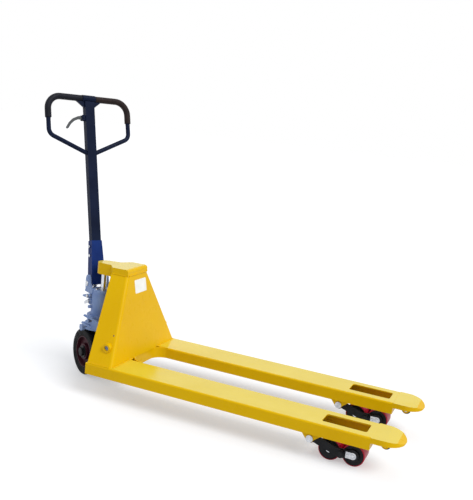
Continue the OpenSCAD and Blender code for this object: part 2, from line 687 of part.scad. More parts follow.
frame_shell();
head_cap();
lift_ram();
fork_left();
fork_right();
tip_left();
tip_right();
heel_beam();
lever_gussets();
lever_axles();
tip_axles();
crank_bushes();
label_plate();
tip_roller_left();
tip_roller_right();
push_rod_left();
push_rod_right();
wheel_lever_left();
wheel_lever_right();
rocker_left();
rocker_right();
roller_axles_left();
roller_axles_right();
roller_left_rear();
roller_left_front();
roller_right_rear();
roller_right_front();
bell_crank();
crank_pins();
thrust_collar();
thrust_washer();
pump_body();
ram_gland();
flange_screws();
adjuster();
wheel_axle();
axle_nuts();
handle_pin();
steer_tyre_left();
steer_tyre_right();
steer_hub_left();
steer_hub_right();
steer_bearings_left();
steer_bearings_right();
pump_plunger();
plunger_spring();
cam_roller();
cam_pin();
handle_base();
base_bolts();
handle_shaft();
handle_head();
loop_tube();
grip_left();
grip_right();
lever_bracket();
control_lever();
release_rod();
release_arm();
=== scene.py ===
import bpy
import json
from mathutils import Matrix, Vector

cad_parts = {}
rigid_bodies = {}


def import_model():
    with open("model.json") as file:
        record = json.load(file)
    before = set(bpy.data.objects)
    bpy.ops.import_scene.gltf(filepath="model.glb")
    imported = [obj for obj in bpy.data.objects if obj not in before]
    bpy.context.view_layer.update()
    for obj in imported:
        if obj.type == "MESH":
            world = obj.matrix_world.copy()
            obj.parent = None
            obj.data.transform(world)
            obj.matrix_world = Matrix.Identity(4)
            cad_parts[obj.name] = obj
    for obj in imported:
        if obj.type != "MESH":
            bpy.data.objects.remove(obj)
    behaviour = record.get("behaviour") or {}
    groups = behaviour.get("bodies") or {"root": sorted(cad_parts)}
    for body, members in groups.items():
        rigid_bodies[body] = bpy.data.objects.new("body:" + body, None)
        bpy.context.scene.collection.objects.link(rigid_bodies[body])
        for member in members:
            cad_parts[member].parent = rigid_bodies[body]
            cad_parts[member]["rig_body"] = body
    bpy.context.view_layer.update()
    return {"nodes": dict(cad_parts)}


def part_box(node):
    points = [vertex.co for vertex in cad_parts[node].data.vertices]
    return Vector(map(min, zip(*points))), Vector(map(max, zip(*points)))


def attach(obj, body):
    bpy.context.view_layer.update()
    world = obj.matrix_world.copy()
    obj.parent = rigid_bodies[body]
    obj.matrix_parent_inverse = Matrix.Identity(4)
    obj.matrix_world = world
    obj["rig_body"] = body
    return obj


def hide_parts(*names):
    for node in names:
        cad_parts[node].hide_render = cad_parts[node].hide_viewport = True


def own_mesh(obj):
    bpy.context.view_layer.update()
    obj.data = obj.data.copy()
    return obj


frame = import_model()

import json
from math import atan, cos, pi, radians, sin, tan

import bpy
from mathutils import Matrix, Vector

# ---- Camera -------------------------------------------------------------------
# A standing person's view of the jack from the fork side, about three metres away.
eye_azimuth, eye_height, eye_roll = radians(22.316), radians(10.334), radians(6.0228)
look_at, eye_distance = Vector((0.300, 0.159256, 0.615839)), 3.09845
back = Vector((sin(eye_azimuth) * cos(eye_height), -cos(eye_azimuth) * cos(eye_height), sin(eye_height)))
right = Vector((cos(eye_azimuth), sin(eye_azimuth), 0))
up = back.cross(right)
rolled_right = cos(eye_roll) * right + sin(eye_roll) * up
rolled_up = cos(eye_roll) * up - sin(eye_roll) * right
bpy.ops.object.camera_add(location=look_at + eye_distance * back)
camera = bpy.context.object
camera.matrix_world = Matrix.Translation(look_at + eye_distance * back) @ Matrix(
    (rolled_right, rolled_up, back)).transposed().to_4x4()
film, frame_side, focal_length = 36, 500, 739.768
camera.data.sensor_width = film
camera.data.lens = focal_length / frame_side * film
camera.data.clip_end = 60
bpy.context.scene.camera = camera

# ---- Floor, room and lamps ------------------------------------------------------
# A pale studio sweep: a white floor that keeps soft shadows, and a white room that gloss shows.
# One broad lamp stands in front of the forks and a weak one behind the operator.
bpy.context.scene.view_settings.view_transform = "Standard"


def new_nodes(block):
    """Gives a material or world an empty node tree, and returns its nodes and links."""
    block.use_nodes = True
    block.node_tree.nodes.clear()
    return block.node_tree.nodes, block.node_tree.links


def seen_rays(nodes, links, kinds):
    """Adds up the kinds of ray that see the white studio directly."""
    path = nodes.new("ShaderNodeLightPath")
    total = path.outputs[kinds[0]]
    for kind in kinds[1:]:
        add = nodes.new("ShaderNodeMath")
        add.operation = "MAXIMUM"
        links.new(total, add.inputs[0])
        links.new(path.outputs[kind], add.inputs[1])
        total = add.outputs[0]
    return total


studio_rays = ("Is Camera Ray", "Is Glossy Ray", "Is Transmission Ray")
world = bpy.data.worlds.new("white_room")
bpy.context.scene.world = world
nodes, links = new_nodes(world)
soft, white = nodes.new("ShaderNodeBackground"), nodes.new("ShaderNodeBackground")
soft.inputs["Color"].default_value = (0.93, 0.96, 1.0, 1)
soft.inputs["Strength"].default_value = 0.62
white.inputs["Strength"].default_value = 1.0
white.inputs["Color"].default_value = (1, 1, 1, 1)
pick_room = nodes.new("ShaderNodeMixShader")
links.new(seen_rays(nodes, links, studio_rays), pick_room.inputs[0])
links.new(soft.outputs[0], pick_room.inputs[1])
links.new(white.outputs[0], pick_room.inputs[2])
links.new(pick_room.outputs[0], nodes.new("ShaderNodeOutputWorld").inputs["Surface"])

bpy.ops.mesh.primitive_plane_add(size=60, location=(0, 0, 0))
floor = bpy.context.object
floor.name = "studio_floor"
floor_paint = bpy.data.materials.new("studio_floor_paint")
nodes, links = new_nodes(floor_paint)
chalk, glow, both = (nodes.new("ShaderNodeBsdfDiffuse"), nodes.new("ShaderNodeEmission"),
                     nodes.new("ShaderNodeAddShader"))
chalk.inputs["Color"].default_value = (0.64, 0.64, 0.65, 1)
lift = nodes.new("ShaderNodeMath")
lift.operation = "MULTIPLY"
lift.inputs[1].default_value = 0.41
links.new(seen_rays(nodes, links, studio_rays), lift.inputs[0])
links.new(lift.outputs[0], glow.inputs["Strength"])
links.new(chalk.outputs[0], both.inputs[0])
links.new(glow.outputs[0], both.inputs[1])
links.new(both.outputs[0], nodes.new("ShaderNodeOutputMaterial").inputs["Surface"])
floor.data.materials.append(floor_paint)

for lamp, energy, angle, towards in (("front_lamp", 1.75, 34, (0.70, -0.20, 0.80)),
                                     ("back_lamp", 0.30, 50, (-0.70, 0.35, 0.62))):
    bpy.ops.object.light_add(type="SUN")
    sun = bpy.context.object
    sun.name, sun.data.energy, sun.data.angle = lamp, energy, radians(angle)
    sun.rotation_euler = Vector(towards).to_track_quat("Z", "Y").to_euler()

# ---- Frame plates -----------------------------------------------------------------
# One 5 mm sheet, cut as a tall trapezoid and folded back at both sides, leaning towards the pump.
# It is stick-welded to the fork decks and powder coated yellow; a bore in each side takes the crank bush.


def colour(red, green, blue):
    """A colour given as it looks on a screen, from 0 to 255, in linear light."""
    return tuple(((c / 255 + 0.055) / 1.055) ** 2.4 if c > 10 else c / 255 / 12.92
                 for c in (red, green, blue)) + (1,)


def finish(name, metallic=0.0, rough=0.4, coat=0.0, coat_rough=0.1, specular=0.5):
    """A new surface; returns what the other finish calls add to."""
    material = bpy.data.materials.new(name)
    nodes, links = new_nodes(material)
    shader = nodes.new("ShaderNodeBsdfPrincipled")
    links.new(shader.outputs[0], nodes.new("ShaderNodeOutputMaterial").inputs["Surface"])
    for socket, value in (("Metallic", metallic), ("Roughness", rough), ("Coat Weight", coat),
                          ("Coat Roughness", coat_rough), ("Specular IOR Level", specular)):
        shader.inputs[socket].default_value = value
    place = nodes.new("ShaderNodeTexCoord")
    return {"material": material, "nodes": nodes, "links": links, "shader": shader,
            "place": place.outputs["Object"], "height": None}


def grain(look, scale, detail=3.0, stretch=None):
    """Noise over the object, with scale in grains per metre, drawn out along an axis by stretch."""
    noise = look["nodes"].new("ShaderNodeTexNoise")
    noise.inputs["Scale"].default_value = scale
    noise.inputs["Detail"].default_value = detail
    place = look["place"]
    if stretch:
        mapping = look["nodes"].new("ShaderNodeMapping")
        mapping.inputs["Scale"].default_value = stretch
        look["links"].new(place, mapping.inputs["Vector"])
        place = mapping.outputs[0]
    look["links"].new(place, noise.inputs["Vector"])
    return noise.outputs["Fac"]


def ramp(look, value, low, high, first, last):
    """Maps a value between low and high to a blend of two colours or two numbers."""
    if isinstance(first, tuple):
        node = look["nodes"].new("ShaderNodeValToRGB")
        node.color_ramp.elements[0].position, node.color_ramp.elements[1].position = low, high
        node.color_ramp.elements[0].color, node.color_ramp.elements[1].color = first, last
        look["links"].new(value, node.inputs[0])
        return node.outputs["Color"]
    node = look["nodes"].new("ShaderNodeMapRange")
    for socket, number in zip(node.inputs[1:5], (low, high, first, last)):
        socket.default_value = number
    look["links"].new(value, node.inputs[0])
    return node.outputs[0]


def tint(look, value, low, high, first, last):
    """Blends the surface colour between two colours by a value."""
    look["colour"] = ramp(look, value, low, high, first, last)
    look["links"].new(look["colour"], look["shader"].inputs["Base Color"])


def gloss(look, value, low, high, first, last):
    """Varies the roughness by a value."""
    look["links"].new(ramp(look, value, low, high, first, last), look["shader"].inputs["Roughness"])


def relief(look, value, distance, strength=1.0):
    """Raises the surface by a value, with distance in metres; reliefs add to each other."""
    bump = look["nodes"].new("ShaderNodeBump")
    bump.inputs["Distance"].default_value = distance
    bump.inputs["Strength"].default_value = strength
    look["links"].new(value, bump.inputs["Height"])
    if look["height"]:
        look["links"].new(look["height"], bump.inputs["Normal"])
    look["height"] = bump.outputs[0]
    look["links"].new(look["height"], look["shader"].inputs["Normal"])


def overlay(look, value, over):
    """Lays a colour over the surface colour where the value is high."""
    mix = look["nodes"].new("ShaderNodeMix")
    mix.data_type = "RGBA"
    look["links"].new(value, mix.inputs["Factor"])
    look["links"].new(look["colour"], mix.inputs["A"])
    mix.inputs["B"].default_value = over
    look["colour"] = mix.outputs["Result"]
    look["links"].new(look["colour"], look["shader"].inputs["Base Color"])


def edge_wear(look, width, amount, over):
    """Rubbed edges: the normal is compared with one rounded over width, and broken up by noise."""
    nodes, links = look["nodes"], look["links"]
    rounded, sharp, dot = (nodes.new("ShaderNodeBevel"), nodes.new("ShaderNodeNewGeometry"),
                           nodes.new("ShaderNodeVectorMath"))
    rounded.samples = 4
    rounded.inputs["Radius"].default_value = width
    dot.operation = "DOT_PRODUCT"
    links.new(rounded.outputs[0], dot.inputs[0])
    links.new(sharp.outputs["Normal"], dot.inputs[1])
    edge = ramp(look, dot.outputs["Value"], 0.985, 0.86, 0.0, amount)
    patch = ramp(look, grain(look, 60, 4), 0.45, 0.62, 0.15, 1.0)
    both = nodes.new("ShaderNodeMath")
    both.operation = "MULTIPLY"
    links.new(edge, both.inputs[0])
    links.new(patch, both.inputs[1])
    overlay(look, both.outputs[0], over)


yellow = finish("yellow_powder_coat", rough=0.26, specular=0.1)
tint(yellow, grain(yellow, 4, 2), 0.3, 0.7, colour(226, 178, 0), colour(232, 186, 0))
edge_wear(yellow, 0.0025, 0.35, colour(246, 208, 70))
gloss(yellow, grain(yellow, 25, 3), 0.3, 0.7, 0.24, 0.36)
relief(yellow, grain(yellow, 380, 2), 0.00012, 0.12)


def take(*pieces):
    """Selects only these pieces and makes the first one active."""
    bpy.ops.object.select_all(action="DESELECT")
    for piece in pieces:
        piece.select_set(True)
    bpy.context.view_layer.objects.active = pieces[0]


def choose(piece, kind, test):
    """In edit mode, selects only the faces, edges or points for which test(centre, direction) holds."""
    take(piece)
    bpy.ops.object.mode_set(mode="EDIT")
    bpy.ops.mesh.select_mode(type=kind)
    bpy.ops.mesh.select_all(action="DESELECT")
    bpy.ops.object.mode_set(mode="OBJECT")
    mesh = piece.data
    if kind == "FACE":
        for face in mesh.polygons:
            face.select = test(face.center, face.normal)
    elif kind == "EDGE":
        for edge in mesh.edges:
            a, b = (mesh.vertices[i].co for i in edge.vertices)
            edge.select = test((a + b) / 2, (b - a).normalized())
    else:
        for point in mesh.vertices:
            point.select = test(point.co, point.normal)
    bpy.ops.object.mode_set(mode="EDIT")


def done(piece, name=None):
    """Leaves edit mode and names the piece."""
    bpy.ops.object.mode_set(mode="OBJECT")
    if name:
        piece.name = piece.data.name = name
    return piece


def modify(piece, kind, **settings):
    """Adds a modifier with these settings and applies it."""
    take(piece)
    modifier = piece.modifiers.new(kind.lower(), kind)
    for key, value in settings.items():
        setattr(modifier, key, value)
    bpy.ops.object.modifier_apply(modifier=modifier.name)


def soften(piece, width, steps=2, angle=28):
    """Rounds the hard edges, and shades flats flat and rounds smooth."""
    modify(piece, "BEVEL", width=width, segments=steps, limit_method="ANGLE", angle_limit=radians(angle),
           use_clamp_overlap=True, miter_outer="MITER_ARC")
    bpy.ops.object.shade_smooth_by_angle(angle=radians(38))
    modify(piece, "WEIGHTED_NORMAL", keep_sharp=True)


def cut(piece, tool):
    """Cuts the piece with a tool solid, and removes the tool."""
    modify(piece, "BOOLEAN", object=tool, operation="DIFFERENCE", solver="EXACT")
    bpy.data.objects.remove(tool)


def y_cylinder(radius, x, z, y0, y1, points=48):
    """A round bar along Y."""
    bpy.ops.mesh.primitive_cylinder_add(vertices=points, radius=radius, depth=y1 - y0,
                                        location=(x, (y0 + y1) / 2, z), rotation=(radians(90), 0, 0))
    bpy.ops.object.transform_apply()
    return bpy.context.object


def fasten(piece, body, slot, look, *nodes, place=None):
    """Puts the finished piece in place, gives it its finish, and lets it ride in place of its CAD nodes."""
    take(piece)
    if place is not None:
        piece.matrix_world = place
    bpy.ops.object.transform_apply(location=True, rotation=True, scale=True)
    if look is not None:
        piece.data.materials.clear()
        piece.data.materials.append(look["material"])
    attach(piece, body)
    if nodes:
        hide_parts(*nodes)
    return piece


def dress(node, slot, look, width=0.0008, steps=2, angle=28):
    """A CAD part carried over as one clean shell with eased edges and its real finish."""
    source = frame["nodes"][node]
    piece = bpy.data.objects.new(node + "_part", source.data.copy())
    bpy.context.scene.collection.objects.link(piece)
    choose(piece, "FACE", lambda centre, normal: True)
    bpy.ops.mesh.remove_doubles(threshold=0.00002)
    bpy.ops.mesh.dissolve_limited(angle_limit=radians(0.6))
    done(piece)
    if piece.data.has_custom_normals:
        bpy.ops.mesh.customdata_custom_splitnormals_clear()
    if width:
        soften(piece, width, steps, angle)
    else:
        bpy.ops.object.shade_smooth_by_angle(angle=radians(angle))
    return fasten(piece, source["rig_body"], slot, look, node)


deck, head_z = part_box("frame_shell")[0].z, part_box("frame_shell")[1].z
foot_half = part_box("frame_shell")[1].y
plate, foot_front, foot_rear = 0.005, -0.005, -0.118
top_half, top_front, top_rear = 0.079, -0.069, -0.150
bpy.ops.mesh.primitive_cube_add(size=1, location=((foot_front + foot_rear) / 2, 0, (deck + head_z) / 2),
                                scale=(foot_front - foot_rear, 2 * foot_half, head_z - deck))
bpy.ops.object.transform_apply()
plates = bpy.context.object
choose(plates, "VERT", lambda point, normal: point.z > head_z - 0.001)
bpy.ops.transform.resize(value=((top_front - top_rear) / (foot_front - foot_rear), top_half / foot_half, 1),
                         center_override=((foot_front + foot_rear) / 2, 0, head_z))
bpy.ops.transform.translate(value=((top_front + top_rear - foot_front - foot_rear) / 2, 0, 0))
done(plates)
choose(plates, "FACE", lambda centre, normal: abs(normal.z) > 0.9 or normal.x < -0.9)
bpy.ops.mesh.delete(type="FACE")
done(plates)
choose(plates, "EDGE", lambda centre, along: centre.x > -0.06 and abs(along.z) > 0.5)
bpy.ops.mesh.bevel(offset=0.013, segments=6, affect="EDGES")
done(plates, "frame_plates")
modify(plates, "SOLIDIFY", thickness=plate, offset=-1, use_even_offset=True)
crank_x, crank_z, bush_radius = -0.052, deck + 0.067, 0.0182
peg_x, peg_z, peg_radius = -0.044, crank_z + 0.045, 0.0035
for side in (-1, 1):
    bush_y, peg_y = side * 0.220, side * 0.195
    cut(plates, y_cylinder(bush_radius, crank_x, crank_z, bush_y - 0.05, bush_y + 0.05))
    cut(plates, y_cylinder(peg_radius, peg_x, peg_z, peg_y - 0.03, peg_y + 0.03, 20))
soften(plates, 0.0009, 2)
fasten(plates, "chassis", "yellow_paint", yellow, "frame_shell")

# ---- Head cap and nose --------------------------------------------------------------
# A pressed steel cap that closes the frame and runs back as a round-ended beam over the ram.
# It is welded all round to the plates below it and painted with them.
dress("head_cap", "yellow_paint", yellow, 0.0045, 4)

# ---- Forks, tips and heel beam ---------------------------------------------------------
# Each fork is a folded channel with a roller window near its end and a thin rounded nose,
# with ribs and gussets welded inside; the heel beam joins both forks under the frame.
# The decks that pallets slide over, and the cap top, get a paler, smoother yellow: the paler colour is a
# painted reflection of the white room, not wear.
yellow_painted_reflection = finish("yellow_deck_painted_reflection", rough=0.2, specular=0.5)
tint(yellow_painted_reflection, grain(yellow_painted_reflection, 6, 3), 0.3, 0.7, colour(226, 198, 30), colour(232, 206, 60))
edge_wear(yellow_painted_reflection, 0.0025, 0.35, colour(246, 214, 96))
gloss(yellow_painted_reflection, grain(yellow_painted_reflection, 40, 3, (0.2, 1, 1)), 0.3, 0.7, 0.14, 0.26)
relief(yellow_painted_reflection, grain(yellow_painted_reflection, 380, 2), 0.0001, 0.1)


def paint_reflection_on_top(piece, height):
    """Gives the level faces above this height the paler yellow of the painted reflection."""
    piece.data.materials.append(yellow_painted_reflection["material"])
    for face in piece.data.polygons:
        if face.normal.z > 0.95 and face.center.z > height:
            face.material_index = 1


# The cap top and the fork and tip decks get the paler yellow of the painted reflection.
paint_reflection_on_top(bpy.data.objects["head_cap_part"], head_z)
for side in ("left", "right"):
    paint_reflection_on_top(dress("fork_" + side, "yellow_paint", yellow, 0.0011, 2), deck - 0.008)
    paint_reflection_on_top(dress("tip_" + side, "yellow_paint", yellow, 0.0035, 3), deck - 0.030)
dress("heel_beam", "yellow_paint", yellow, 0.001)
dress("lever_gussets", "yellow_paint", yellow, 0.0008)
low_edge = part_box("fork_left")[0].z
corner_radius, corner_x, corner_y = 0.055, 0.047, 0.0595
for side in (-1, 1):
    bpy.ops.mesh.primitive_cylinder_add(
        vertices=64, radius=corner_radius, depth=deck - low_edge, end_fill_type="NOTHING",
        location=(corner_x, side * corner_y, (deck + low_edge) / 2))
    bpy.ops.object.transform_apply()
    corner_plate = bpy.context.object
    choose(corner_plate, "FACE",
           lambda centre, normal: centre.x > corner_x - 0.0005 or side * centre.y < corner_y)
    bpy.ops.mesh.delete(type="FACE")
    done(corner_plate, "heel_corner_" + ("right" if side < 0 else "left"))
    modify(corner_plate, "SOLIDIFY", thickness=0.004, offset=1)
    soften(corner_plate, 0.0008)
    fasten(corner_plate, "chassis", "yellow_paint", yellow)

# ---- Weld beads --------------------------------------------------------------------------
# Stick welds with a fine ripple join the frame's foot to the fork decks and the cap to the frame.
# They are laid by hand in short steps and painted over with the plates.


def cap_ends(piece):
    """Closes the open ends of a tube."""
    choose(piece, "EDGE", lambda centre, along: False)
    bpy.ops.mesh.select_non_manifold()
    bpy.ops.mesh.edge_face_add()
    done(piece)


def bead(name, start, end, radius=0.0028, pitch=0.0036):
    """A rippled weld bead between two points."""
    start, end = Vector(start), Vector(end)
    count = max(2, round((end - start).length / pitch))
    bpy.ops.mesh.primitive_cylinder_add(vertices=10, radius=radius, depth=pitch, end_fill_type="NOTHING",
                                        location=(0, 0, pitch / 2))
    bpy.ops.object.transform_apply()
    seam = bpy.context.object
    choose(seam, "EDGE", lambda centre, along: abs(along.z) > 0.9)
    bpy.ops.mesh.subdivide(number_cuts=1)
    done(seam)
    choose(seam, "VERT", lambda point, normal: 0.2 * pitch < point.z < 0.8 * pitch)
    bpy.ops.transform.resize(value=(1.22, 1.22, 1), center_override=(0, 0, pitch / 2))
    done(seam, name)
    modify(seam, "ARRAY", count=count, use_relative_offset=False, use_constant_offset=True,
           constant_offset_displace=(0, 0, pitch), use_merge_vertices=True, merge_threshold=0.0001)
    cap_ends(seam)
    bpy.ops.object.shade_smooth_by_angle(angle=radians(60))
    turn = (end - start).to_track_quat("Z", "Y").to_matrix().to_4x4()
    return fasten(seam, "chassis", "yellow_paint", yellow, place=Matrix.Translation(start) @ turn)


for side, hand in (("left", 1), ("right", -1)):
    bead("weld_foot_front_" + side, (foot_front + 0.001, hand * 0.104, deck),
         (foot_front + 0.001, hand * 0.250, deck))
    bead("weld_foot_side_" + side, (foot_rear + 0.002, hand * foot_half, deck),
         (foot_front - 0.010, hand * foot_half, deck))
    bead("weld_cap_side_" + side, (top_rear + 0.002, hand * top_half, head_z + 0.001),
         (top_front - 0.012, hand * top_half, head_z + 0.001), 0.0022)
bead("weld_cap_front", (top_front + 0.001, -top_half + 0.010, head_z + 0.001),
     (top_front + 0.001, top_half - 0.010, head_z + 0.001), 0.0022)

# ---- Bare steel small parts ---------------------------------------------------------------
# Turned pins and axles, screws and nuts, all zinc plated.
# They are pressed or screwed in last and stay unpainted; the crank bushes alone are painted over.
steel = finish("zinc_plated_steel", metallic=1.0, rough=0.3)
tint(steel, grain(steel, 90, 3), 0.3, 0.7, colour(176, 180, 186), colour(214, 216, 220))
gloss(steel, grain(steel, 200, 2), 0.3, 0.7, 0.2, 0.42)
relief(steel, grain(steel, 900, 2), 0.00005, 0.4)
for node in ("lever_axles", "tip_axles", "crank_pins", "thrust_washer", "flange_screws", "adjuster",
             "handle_pin", "cam_pin", "base_bolts", "ram_gland", "pump_plunger", "cam_roller"):
    dress(node, "steel", steel, 0.0007)
dress("crank_bushes", "steel", yellow, 0.0008)

# ---- Ram ---------------------------------------------------------------------------------
# A ground and hard-chromed rod between the pump and the nose of the frame.
# It carries the whole frame, and the pump slides along it as the forks rise.
chrome = finish("hard_chrome", metallic=1.0, rough=0.1)
tint(chrome, grain(chrome, 40, 2), 0.3, 0.7, colour(196, 199, 206), colour(226, 228, 232))
gloss(chrome, grain(chrome, 300, 2, (1, 1, 0.05)), 0.3, 0.7, 0.07, 0.2)
dress("lift_ram", "chrome", chrome, 0)

# ---- Blank label ---------------------------------------------------------------------------
# A white self-adhesive plate with rounded corners near the top of the front plate.
# It is a thin plastic film with nothing printed on it.
label_white = finish("label_film", rough=0.35, coat=0.2)
tint(label_white, grain(label_white, 30, 2), 0.3, 0.7, colour(236, 237, 232), colour(248, 248, 245))
relief(label_white, grain(label_white, 200, 1), 0.0001, 0.15)
frame_height, frame_setback = 0.332, 0.064
label_lean, film_depth = atan(frame_setback / frame_height), 0.0008
bpy.ops.mesh.primitive_cube_add(size=1, location=(film_depth / 2, 0.012, 0.865 * frame_height),
                                scale=(film_depth, 0.090, 0.17 * frame_height))
bpy.ops.object.transform_apply()
label = bpy.context.object
choose(label, "EDGE", lambda centre, along: abs(along.x) > 0.9)
bpy.ops.mesh.bevel(offset=0.005, segments=5, affect="EDGES")
done(label, "blank_label")
soften(label, 0.0002, 1)
fasten(label, "chassis", "label_white", label_white, "label_plate",
       place=Matrix.Translation((foot_front, 0, deck)) @ Matrix.Rotation(-label_lean, 4, "Y"))

# ---- Load rollers ---------------------------------------------------------------------------
# Tandem rollers: a crimson polyurethane tread moulded on a steel core with a seal at each face.
# They run in forged rockers on the wheel levers, which long push rods swing down from the fork.
crimson = finish("crimson_polyurethane", rough=0.35, specular=0.25)
tint(crimson, grain(crimson, 30, 3), 0.3, 0.7, colour(168, 18, 46), colour(196, 30, 60))
gloss(crimson, grain(crimson, 120, 3), 0.3, 0.7, 0.28, 0.5)
relief(crimson, grain(crimson, 250, 2), 0.0001, 0.3)
black_steel = finish("black_enamel", rough=0.42, specular=0.15)
tint(black_steel, grain(black_steel, 35, 3), 0.3, 0.7, colour(18, 19, 21), colour(34, 35, 38))
edge_wear(black_steel, 0.0015, 0.4, colour(80, 82, 86))
gloss(black_steel, grain(black_steel, 80, 3), 0.3, 0.7, 0.32, 0.55)
relief(black_steel, grain(black_steel, 500, 2), 0.0002, 0.3)


def wheel(name, radius, width, shoulder, steps, bore, band, band_look, core_look):
    """A wheel about Y: a banded rim with round shoulders, stepped faces and a through bore."""
    disc = y_cylinder(radius, 0, 0, -width / 2, width / 2, 72)
    choose(disc, "EDGE", lambda centre, along: abs(along.y) < 0.5)
    bpy.ops.mesh.bevel(offset=shoulder, segments=4, affect="EDGES")
    done(disc, name)
    for inward, depth in steps:
        choose(disc, "FACE",
               lambda centre, normal: abs(normal.y) > 0.9 and Vector((centre.x, 0, centre.z)).length < 0.001)
        bpy.ops.mesh.inset(thickness=inward, depth=depth)
        done(disc)
    cut(disc, y_cylinder(bore, 0, 0, -width, width, 36))
    disc.data.materials.append(band_look["material"])
    disc.data.materials.append(core_look["material"])
    for face in disc.data.polygons:
        off_axis = Vector((face.center.x, 0, face.center.z)).length
        face.material_index = 0 if off_axis > radius - band else 1
    take(disc)
    bpy.ops.object.shade_smooth_by_angle(angle=radians(32))
    return disc


seal_steps = ((0.0012, 0), (0.0008, -0.0012), (0.0135, 0), (0.0015, -0.0025), (0.006, 0), (0.001, 0.0032))
for node in ("roller_left_rear", "roller_left_front", "roller_right_rear", "roller_right_front"):
    low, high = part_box(node)
    tread = wheel(node + "_wheel", (high.z - low.z) / 2, high.y - low.y, 0.0022, seal_steps,
                  0.0101, 0.0036, crimson, black_steel)
    fasten(tread, frame["nodes"][node]["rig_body"], "roller_red", None, node,
           place=Matrix.Translation((low + high) / 2))
nylon = finish("dark_nylon", rough=0.5)
tint(nylon, grain(nylon, 60, 3), 0.3, 0.7, colour(44, 45, 48), colour(66, 67, 70))
relief(nylon, grain(nylon, 700, 2), 0.0001, 0.3)
for side in ("left", "right"):
    dress("tip_roller_" + side, "dark_nylon", nylon, 0.002, 3)
    dress("wheel_lever_" + side, "black_steel", black_steel, 0.001)
    dress("rocker_" + side, "black_steel", black_steel, 0.001)
    dress("roller_axles_" + side, "steel", steel, 0.0008)
    dress("push_rod_" + side, "black_steel", black_steel, 0.001)
for node in ("wheel_axle", "axle_nuts"):
    dress(node, "black_steel", black_steel, 0.0012)

# ---- Pump -------------------------------------------------------------------------------------
# A cast iron body, painted blue-grey, that steers with the wheels: cylinder, valve bosses and ears.
# The thrust collar, bell crank and release arm around it have the same paint.
pump_paint = finish("blue_grey_enamel", rough=0.4, specular=0.3)
tint(pump_paint, grain(pump_paint, 20, 3), 0.3, 0.7, colour(112, 137, 188), colour(140, 163, 204))
edge_wear(pump_paint, 0.002, 0.4, colour(190, 196, 214))
gloss(pump_paint, grain(pump_paint, 60, 3), 0.3, 0.7, 0.3, 0.5)
relief(pump_paint, grain(pump_paint, 260, 4), 0.0005, 0.45)
dress("pump_body", "pump_paint", pump_paint, 0.0022, 3, 24)
dress("thrust_collar", "pump_paint", pump_paint, 0.001)
dress("bell_crank", "pump_paint", pump_paint, 0.0012)
dress("release_arm", "pump_paint", pump_paint, 0.0012)

# ---- Plunger spring ------------------------------------------------------------------------------
# A round-wire compression spring, wound six turns between the pump block and the plunger head.
# On the real jack it closes up as the handle is pulled down; this coil is built at one length.
steer = Matrix.Translation((-0.235, 0, 0)) @ Matrix.Rotation(radians(150), 4, "Z")


def face_out(piece):
    """Turns all faces outwards."""
    choose(piece, "FACE", lambda centre, normal: True)
    bpy.ops.mesh.normals_make_consistent(inside=False)
    return done(piece)


spring_low, spring_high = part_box("plunger_spring")[0].z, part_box("plunger_spring")[1].z
wire, turns = 0.0014, 6
coil_radius, plunger_u = 0.011, 0.082
bpy.ops.mesh.primitive_circle_add(vertices=12, radius=wire, location=(coil_radius, 0, 0),
                                  rotation=(radians(90), 0, 0))
spring = bpy.context.object
bpy.ops.object.transform_apply()
modify(spring, "SCREW", axis="Z", angle=2 * pi * turns, screw_offset=spring_high - spring_low - 2 * wire,
       steps=24 * turns, render_steps=24 * turns, use_merge_vertices=False)
done(face_out(spring), "plunger_spring_coil")
cap_ends(spring)
bpy.ops.object.shade_smooth_by_angle(angle=radians(50))
fasten(spring, "pump", "steel", steel, "plunger_spring",
       place=steer @ Matrix.Translation((plunger_u, 0, spring_low + wire)))
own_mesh(spring)

# ---- Steering wheels ---------------------------------------------------------------------------
# Black rubber tyres pressed on cast hubs that are enamelled dark red.
# A sealed bearing sits in each face and runs on the axle through the pump's foot.
tyre_rubber = finish("black_tyre_rubber", rough=0.6, specular=0.12)
tint(tyre_rubber, grain(tyre_rubber, 25, 4), 0.3, 0.7, colour(11, 12, 13), colour(24, 24, 26))
gloss(tyre_rubber, grain(tyre_rubber, 60, 3), 0.3, 0.7, 0.5, 0.75)
relief(tyre_rubber, grain(tyre_rubber, 350, 3), 0.0003, 0.4)
hub_red = finish("dark_red_enamel", rough=0.45, specular=0.12)
tint(hub_red, grain(hub_red, 30, 3), 0.3, 0.7, colour(46, 12, 22), colour(66, 18, 32))
relief(hub_red, grain(hub_red, 300, 3), 0.0003, 0.4)
hub_steps = ((0.012, 0), (0.0015, -0.0015), (0.010, 0), (0.002, -0.003), (0.001, 0.002), (0.005, 0),
             (0.004, -0.014), (0.022, 0), (0.003, 0.013))
for side, sign in (("left", -1), ("right", 1)):
    tyre = wheel("steering_wheel_" + side, 0.0999, 0.050, 0.0055, hub_steps,
                 0.0262, 0.0325, tyre_rubber, hub_red)
    fasten(tyre, "steer_wheel_" + side, "tyre_rubber", None, "steer_tyre_" + side, "steer_hub_" + side,
           place=steer @ Matrix.Translation((0, sign * 0.052, 0.100)))
    dress("steer_bearings_" + side, "black_steel", black_steel, 0.0008)

